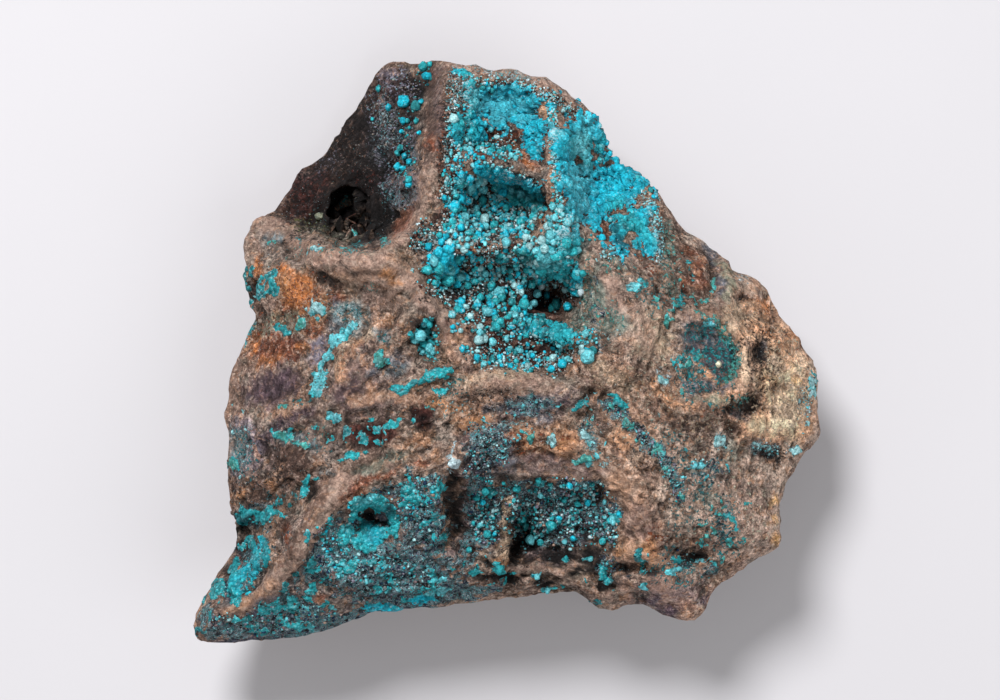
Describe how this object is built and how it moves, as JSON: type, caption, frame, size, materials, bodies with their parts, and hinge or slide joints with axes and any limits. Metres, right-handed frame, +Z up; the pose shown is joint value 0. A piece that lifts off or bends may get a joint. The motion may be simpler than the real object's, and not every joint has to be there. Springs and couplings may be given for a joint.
{
  "type": "aurichalcite mineral specimen",
  "caption": "Irregular hand-sized piece of brown limonite rock lying flat, its hollows lined with sky-blue beaded aurichalcite crusts.",
  "frame": {"origin": "on the surface that the stone lies on, under the middle of its outline seen from above", "axes": "+Z up out of the crusted face, +X along the stone's longest way, +Y towards the end with the main pocket"},
  "size_m": [0.104, 0.098, 0.042],
  "materials": {
    "limonite": "dull rough tan to rust-brown rock with ochre, plum and slate patches, near-black in the hollows",
    "aurichalcite": "velvety to pearly sky-blue beads with paler blue-white frosting"
  },
  "bodies": {
    "root": {"limonite_matrix": "limonite", "main_pocket_crust": "aurichalcite", "dark_hollow_crust": "aurichalcite", "small_pit_crust": "aurichalcite", "blue_hole_crust": "aurichalcite", "foot_crust": "aurichalcite", "lower_vug_crust": "aurichalcite"}
  },
  "joints": []
}
